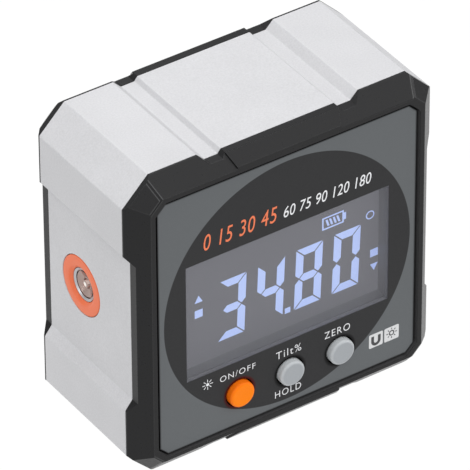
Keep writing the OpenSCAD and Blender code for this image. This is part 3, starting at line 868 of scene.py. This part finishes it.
def lamp_sign(name, x, z, core, ray_half, ray_width, proud, finish, open_core):
    """A disc or ring with rays round it."""
    ring = [(arc(x, z, core), arc(x, z, core * CORE_HOLE))] if open_core else []
    solid = [] if open_core else [arc(x, z, core)]
    middle = flat_print(solid, panel_front, ring, proud)
    ray = rectangle(-ray_half, ray_half, -ray_width / 2, ray_width / 2)
    rays = copied(flat_print([ray], 0, proud=proud), ring_tree, finish, Count=RAY_COUNT,
                  Radius=(core + RAY_GAP + ray_half) * MM, Centre=(x * MM, panel_front * MM, z * MM))
    both = bmesh.new()
    both.from_mesh(middle)
    both.from_mesh(rays)
    printed_piece(name, as_mesh(both, name), finish)


lamp_sign("sign_lamp_tile", 20.88, 10.1, 0.55, 0.16, 0.16, 2 * INK_PROUD, dark_ink, open_core=True)
lamp_sign("sign_lamp", -15.95, 15.5, 0.30, 0.28, 0.12, INK_PROUD, white_ink, open_core=False)
print("two lamps with", RAY_COUNT, "rays each")

# %% [markdown]
# Caps, collars, magnets and screws are turned parts, so they come from one lathe: a profile of radius
# and height is swept round an axis. A profile that starts and ends on the axis closes by itself, and
# one that doesn't is closed into a ring. The pieces replace their coarser CAD solids.

# %% Lathe
STEPS_ROUND = 72


def lathe(name, profile, place):
    """Sweeps (radius, height) points round Z and moves the result to its place in the frame."""
    made = bmesh.new()
    rings = []
    for radius, height in profile:
        if radius < 1e-6:
            rings.append([made.verts.new((0, 0, height * MM))])
            continue
        rings.append([made.verts.new((radius * MM * math.cos(a), radius * MM * math.sin(a), height * MM))
                      for a in (math.tau * i / STEPS_ROUND for i in range(STEPS_ROUND))])
    pairs = list(zip(rings, rings[1:]))
    if len(rings[0]) > 1:
        pairs.append((rings[-1], rings[0]))
    for near, far in pairs:
        for i in range(STEPS_ROUND):
            j = (i + 1) % STEPS_ROUND
            corners = [near[i % len(near)], near[j % len(near)], far[j % len(far)], far[i % len(far)]]
            made.faces.new(list(dict.fromkeys(corners)))
    bmesh.ops.transform(made, matrix=place, verts=made.verts)
    bmesh.ops.recalc_face_normals(made, faces=made.faces)
    return as_mesh(made, name)


def rounded(radius, height, fillet, steps=8):
    """Profile points of a rounded outer edge, from the top down to the side."""
    return [(radius - fillet + fillet * math.sin(a), height - fillet + fillet * math.cos(a))
            for a in (math.pi / 2 * i / steps for i in range(steps + 1))]


def axis_along(x, y, z, direction):
    """Turns the lathe's Z to a direction and moves it to a point in mm."""
    turn = Vector((0, 0, 1)).rotation_difference(Vector(direction)).to_matrix().to_4x4()
    return Matrix.Translation(Vector((x, y, z)) * MM) @ turn


print("lathe with", STEPS_ROUND, "steps")

# %% [markdown]
# The three caps are moulded ABS, one orange and two grey, with a softly rounded edge and a shallow
# dish that the finger finds. The rounded edge gets a painted highlight, lighter on the grey and redder
# on the orange. The lathe knows which points lie on the edge and stores that as an attribute.

# %% Finishes of the caps
def cap_finish(name, colour, painted_highlight_colour, roughness, gloss):
    made = grained(name, colour, roughness, 0.3, shift=0.04, bump=0.007, gloss=gloss)
    tree, base, face_colour = opened(made)
    edge = add(tree, "ShaderNodeAttribute", attribute_name="edge_highlight_mask")
    mixed = add(tree, "ShaderNodeMix", {0: edge.outputs["Fac"], 6: face_colour, 7: linear(painted_highlight_colour)},
                data_type="RGBA")
    tree.links.new(mixed.outputs[2], base)
    return made


orange_abs = cap_finish("orange_abs", "#f47e02", "#fb7612", 0.4, 0.1)
grey_abs = cap_finish("light_grey_abs", "#979b9f", "#c3c7c9", 0.36, 0.5)
print("cap finishes:", orange_abs.name, grey_abs.name)

# %% [markdown]
# Behind the panel each cap has a flange that keeps it in its hole and a stem that reaches its switch.
# They are one turned profile, so nothing has to be joined. The sizes are read from the CAD node, and
# each cap rides on a body of its own, so it can be pressed.

# %% Push caps
CAP_DISH, CAP_FILLET = 0.05, 0.5
FLANGE_FRONT, FLANGE_BACK = -12.25, -11.45
FLANGE_LIP, STEM_RADIUS = 0.8, 1.6


def push_cap(node, body, finish):
    """Turns a cap with its flange and stem to the sizes of its CAD node."""
    low, high = (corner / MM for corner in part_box(node))
    x, z = (low.x + high.x) / 2, (low.z + high.z) / 2
    flange_radius = (high.x - low.x) / 2
    cap_radius = flange_radius - FLANGE_LIP
    top, flange, behind, end = (-low.y, -FLANGE_FRONT, -FLANGE_BACK, -high.y)
    profile = [(0, top - CAP_DISH), (0.9, top - CAP_DISH * 0.85), (1.6, top - CAP_DISH * 0.35)]
    profile += rounded(cap_radius, top, CAP_FILLET)
    profile += [(cap_radius, flange), (flange_radius, flange), (flange_radius, behind),
                (STEM_RADIUS, behind), (STEM_RADIUS, end), (0, end)]
    mesh = lathe(node + "_cap", profile, axis_along(x, 0, z, (0, -1, 0)))
    # Mask of the painted edge highlight: 1 on the rounded edge, 0 on the dish.
    edge = mesh.attributes.new("edge_highlight_mask", "FLOAT", "POINT")
    for point, stored in zip(mesh.vertices, edge.data):
        reach = math.hypot(point.co.x / MM - x, point.co.z / MM - z)
        stored.value = min(max((reach - cap_radius) / CAP_FILLET + 1, 0), 1)
    mesh.materials.append(finish)
    add_piece(node + "_cap", mesh, body, [node], smooth=40)


push_cap("power_button", "power_cap", orange_abs)
push_cap("hold_button", "hold_cap", grey_abs)
push_cap("zero_button", "zero_cap", grey_abs)
print("three caps made")

# %% [markdown]
# A magnet sits in each side, in a collar of orange polyamide with a satin shine. The magnet is nickel
# plated and was turned: two cones with a groove between them run down to a small boss. Its grey is
# tinted pink, a painted reflection of the orange collar. The boss is painted near white, a painted
# highlight, and the outer cone gets the lighter zinc finish. Fine rings run round it, and a Wave
# texture in rings about the X axis draws them.

# %% Finishes of the collars and magnets
WAVE_SCALE = 0.314
RING_PITCH, RING_DEPTH = 0.45, 0.006
BOSS_HIGHLIGHT_FULL, BOSS_HIGHLIGHT_END = 0.3, 0.5
magnet_y = sum(corner.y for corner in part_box("side_magnets")) / 2

collar_finish = grained("orange_polyamide_collar", "#e26d41", 0.42, 0.3, shift=0.05, bump=0.01, gloss=0.4)
# The pink in this grey is a painted reflection of the orange collar.
nickel = grained("nickel_plated_turned", "#a38f88", 0.2, 0.6, shift=0.05, bump=0.001, metallic=1.0)
tree, base, plating = opened(nickel)
tree, bump_socket, grain_bump = opened(nickel, "Normal")
place = add(tree, "ShaderNodeTexCoord").outputs["Object"]
centred = add(tree, "ShaderNodeMapping", {"Vector": place, "Location": (0, -magnet_y, -middle_z * MM)})
rings = add(tree, "ShaderNodeTexWave", {
    "Vector": centred, "Scale": WAVE_SCALE / (RING_PITCH * MM), "Distortion": 0.6,
    "Detail": 1.0}, wave_type="RINGS", rings_direction="X")
turned = add(tree, "ShaderNodeBump", {
    "Height": rings.outputs["Fac"], "Strength": 0.3, "Distance": RING_DEPTH * MM, "Normal": grain_bump})
tree.links.new(turned.outputs[0], bump_socket)
across = add(tree, "ShaderNodeVectorMath", {0: centred, 1: (0, 1, 1)}, operation="MULTIPLY")
off_axis = add(tree, "ShaderNodeVectorMath", {0: across}, operation="LENGTH")
beyond_highlight = add(tree, "ShaderNodeMapRange", {
    "Value": off_axis, "From Min": BOSS_HIGHLIGHT_FULL * MM, "From Max": BOSS_HIGHLIGHT_END * MM})
# The boss is painted near white: a painted highlight that fades out a little further from the axis.
boss_highlight = add(tree, "ShaderNodeMix", {0: beyond_highlight, 6: linear("#f6f1ea"), 7: plating}, data_type="RGBA")
tree.links.new(boss_highlight.outputs[2], base)
print("magnet rings", RING_PITCH, "mm apart")

# %% [markdown]
# The collar is a ring with a rounded rim and a cone down to its bore, where the magnet sits. Both
# profiles are measured from the inner end of the collar, so one function turns either and sets it in
# the left or the right side. The outer cone is found by its distance from the axis.

# %% Collars and magnets
COLLAR_RADIUS, COLLAR_BORE, COLLAR_DEPTH, COLLAR_FILLET = 5.45, 3.1, 2.2, 0.2
COLLAR_PROFILE = [(COLLAR_BORE, 0), (COLLAR_RADIUS, 0),
                  *reversed(rounded(COLLAR_RADIUS, COLLAR_DEPTH, COLLAR_FILLET, 5)),
                  (3.8, COLLAR_DEPTH), (3.65, 2.17), (COLLAR_BORE, 1.7)]
MAGNET_PROFILE = [(0, 1.45), (0.6, 1.45), (0.75, 1.4), (0.95, 1.0), (1.1, 0.95), (2.3, 1.45), (2.34, 1.2),
                  (2.48, 1.2), (2.54, 1.48), (2.9, 1.68), (2.96, 1.7), (3.0, 1.66), (3.0, 0), (0, 0)]
OUTER_CONE = 2.52
collar_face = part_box("magnet_collars")[1].x / MM


def side_piece(name, profile, side, finishes, node):
    """Turns a collar or magnet into its side; a second finish goes on the outer cone."""
    seat = axis_along(side * (collar_face - COLLAR_DEPTH), magnet_y / MM, middle_z, (side, 0, 0))
    mesh = lathe(name, profile, seat)
    for finish in finishes:
        mesh.materials.append(finish)
    for p in mesh.polygons:
        reach = math.hypot(p.center.y - magnet_y, p.center.z - middle_z * MM) / MM
        p.material_index = int(len(finishes) > 1 and reach > OUTER_CONE)
    add_piece(name, mesh, "housing", [node])


for side, word in ((-1, "left"), (1, "right")):
    side_piece("magnet_collar_" + word, COLLAR_PROFILE, side, [collar_finish],
               "magnet_collars")
    side_piece("side_magnet_" + word, MAGNET_PROFILE, side, [nickel, plated_steel],
               "side_magnets")
print("collars and magnets at y =", round(magnet_y / MM, 2), "mm")

# %% [markdown]
# The rear has five screws with cross recesses. A screw is turned on the lathe, and a Boolean modifier
# cuts the cross from its head. A dark cross painted on would look flat from the side.

# %% Screws with a cross
CROSS_LENGTH, CROSS_WIDTH, CROSS_DEPTH = 0.56, 0.13, 0.55
HEAD_FILLET, TIP_TAPER = 0.3, 0.5


def cross_cutter(length, width, depth):
    """Two crossed bars that reach as far above the head's top, at 0, as below it."""
    made = bmesh.new()
    for wide, deep in ((length, width), (width, length)):
        bar = bmesh.ops.create_cube(made, size=1)["verts"]
        bmesh.ops.scale(made, vec=Vector((wide, deep, 2 * depth)) * MM, verts=bar)
    return as_mesh(made, "cross_cutter")


def cut_away(mesh, cutter):
    """The mesh less the cutter, by an exact Boolean that may overlap itself."""
    whole, tool = [put_in_scene(m.name, m) for m in (mesh, cutter)]
    boolean = whole.modifiers.new("cut", "BOOLEAN")
    boolean.object, boolean.operation, boolean.solver, boolean.use_self = tool, "DIFFERENCE", "EXACT", True
    result = as_plain_mesh(whole, mesh.name)
    bpy.data.objects.remove(tool)
    return result


def screw(name, head_d, head_h, shank_d, length):
    """A pan head screw along Z, with the top of its head at 0."""
    r, s, end = head_d / 2, shank_d / 2, -head_h - length
    profile = [(0, 0), (r * 0.55, -0.02), *rounded(r, -0.05, HEAD_FILLET, 5), (r, -head_h), (s, -head_h),
               (s, end + TIP_TAPER), (s * 0.4, end), (0, end)]
    cross = cross_cutter(head_d * CROSS_LENGTH, head_d * CROSS_WIDTH, head_h * CROSS_DEPTH)
    return cut_away(lathe(name, profile, Matrix()), cross)


print("a cross takes", CROSS_LENGTH, "of a head's width")

# %% [markdown]
# Four long screws near the corners hold the case together, and a smaller one holds the battery door.
# Lengths and places come from the CAD nodes. The case screw is turned a little, as driven screws are,
# and the corner tree copies it.

# %% Case screws and door screw
CASE_HEAD, CASE_HEAD_H, CASE_SHANK, CASE_TURN = 5.0, 1.4, 2.5, math.radians(20)
DOOR_HEAD, DOOR_HEAD_H, DOOR_SHANK = 4.0, 0.7, 2.0
TO_REAR = (0, 1, 0)

low, high = (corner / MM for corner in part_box("case_screws"))
one = screw("case_screw", CASE_HEAD, CASE_HEAD_H, CASE_SHANK, high.y - low.y - CASE_HEAD_H)
one.transform(axis_along(0, 0, 0, TO_REAR) @ Matrix.Rotation(CASE_TURN, 4, "Z"))
four = copied(one, grid_tree, plated_steel, Spacing=(high.x - low.x - CASE_HEAD) * MM,
              Centre=(0, high.y * MM, (low.z + high.z) / 2 * MM))
add_piece("case_screws_cross", four, "housing", ["case_screws"])
low, high = (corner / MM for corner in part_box("door_screw"))
small = screw("door_screw_cross", DOOR_HEAD, DOOR_HEAD_H, DOOR_SHANK, high.y - low.y - DOOR_HEAD_H)
small.transform(axis_along(0, high.y, (low.z + high.z) / 2, TO_REAR))
small.materials.append(plated_steel)
add_piece("door_screw_cross", small, "housing", ["door_screw"])
print("five screws with cross recesses")

# %% [markdown]
# The battery door has grooves that give a thumb some hold. They could be a bump in the finish, but a
# real groove has a shadow. So the row tree copies one bar, and a Boolean cuts all of them at once.

# %% Battery door with a grip
GRIP_COUNT, GRIP_PITCH, GRIP_LOW = 6, 1.4, 21.0
GROOVE_LENGTH, GROOVE_WIDTH = 12, 0.6
DOOR_EDGE = 0.15

groove = bmesh.new()
groove_size = Matrix.Diagonal((GROOVE_LENGTH * MM, GROOVE_WIDTH * MM, GROOVE_WIDTH * MM, 1))
bmesh.ops.create_cube(groove, size=1, matrix=groove_size)
grip = copied(as_mesh(groove, "grip_groove"), row_tree, black_abs, Count=GRIP_COUNT,
              Step=(0, 0, GRIP_PITCH * MM), Start=(0, rear_face * MM, GRIP_LOW * MM))


def door_weight(edge):
    """Breaks the edges on the door's outer face."""
    return float(middle_of(edge).y > rear_face - 0.05 and edge.calc_face_angle(0) > SHARP_ANGLE)


door = broken_edges("battery_door", "door_panel", DOOR_EDGE, door_weight,
                    [black_abs, black_abs])
door.data = cut_away(door.data.copy(), grip)
print("door panel with", GRIP_COUNT, "grip grooves")

# %% [markdown]
# The pieces inside the case stay as they came from CAD. They are never seen from outside, but who
# opens the case finds a satin green board, dull black chips, a striped rubber contact strip, a frosted
# light guide and two cells in glossy jackets.

# %% Inner pieces
STRIP_PITCH, BOARD_PITCH, JACKET_PITCH = 0.5, 1.27, 60


def striped(name, colour, stripe, pitch, direction, roughness):
    """A grained finish with sharp stripes of a real pitch in mm across one axis."""
    made = grained(name, colour, roughness, 0.3, shift=0.05, bump=0.005)
    tree, base, ground = opened(made)
    place = add(tree, "ShaderNodeTexCoord").outputs["Object"]
    wave = add(tree, "ShaderNodeTexWave", {"Vector": place, "Scale": WAVE_SCALE / (pitch * MM)},
               wave_type="BANDS", bands_direction=direction)
    sharp = add(tree, "ShaderNodeMapRange", {
        "Value": wave.outputs["Fac"], "From Min": 0.45, "From Max": 0.55})
    mixed = add(tree, "ShaderNodeMix", {0: sharp, 6: ground, 7: linear(stripe)}, data_type="RGBA")
    tree.links.new(mixed.outputs[2], base)
    return made


black_epoxy = grained("black_epoxy", "#1e2022", 0.5, 0.3, shift=0.08, bump=0.01)
inner = {
    "backlight": grained("white_light_guide", "#e8edf2", 0.3, 0.5, shift=0.03, bump=0.003),
    "zebra_strip": striped("striped_elastomer", "#d8a9a0", "#2a2526", STRIP_PITCH, "X", 0.6),
    "main_board": striped("green_solder_mask", "#1c6a3d", "#237a49", BOARD_PITCH, "Z", 0.4),
    "controller_chip": black_epoxy, "tilt_sensor": black_epoxy, "switch_bodies": black_epoxy,
    "board_screws": plated_steel, "contact_springs": plated_steel, "contact_plates": plated_steel,
    "battery_cells": striped("cell_jacket", "#43464b", "#b8793a", JACKET_PITCH, "X", 0.35),
}
for name, finish in inner.items():
    dress(name, finish)
print("inner pieces dressed:", len(inner))
